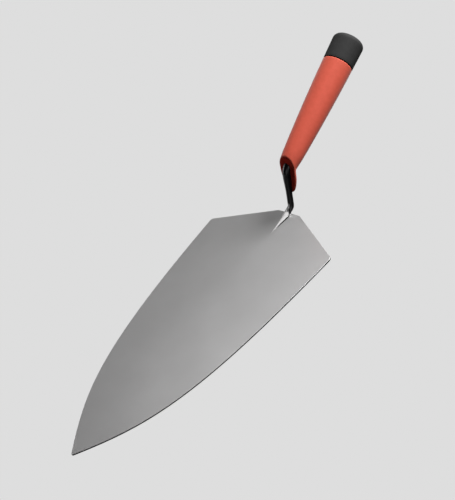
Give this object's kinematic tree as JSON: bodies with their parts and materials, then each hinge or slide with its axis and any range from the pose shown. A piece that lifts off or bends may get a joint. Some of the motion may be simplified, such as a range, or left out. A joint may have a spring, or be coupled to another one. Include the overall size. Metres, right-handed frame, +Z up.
{
  "type": "brick trowel",
  "caption": "Masonry trowel: a flat pointed steel blade with square shoulders, a bent steel shank, and a tapered soft-grip handle with a finger guard and a rubber end cap.",
  "frame": {"origin": "on the flat underside of the blade, on its centre line, level with the shoulders", "axes": "-Y towards the toe, +Y towards the handle, +X to the right seen from behind the handle, +Z up from the blade"},
  "size_m": [0.1372, 0.4168, 0.1044],
  "materials": {
    "blade_steel": "even satin grind",
    "shank_paint": "gloss black, ground bright at the foot",
    "core_plastic": "matt",
    "soft_grip": "satin orange-red",
    "cap_rubber": "matt dark grey"
  },
  "bodies": {
    "root": {"blade": "blade_steel", "shank": "shank_paint", "handle_core": "core_plastic", "grip_sleeve": "soft_grip", "end_cap": "cap_rubber"}
  },
  "joints": []
}
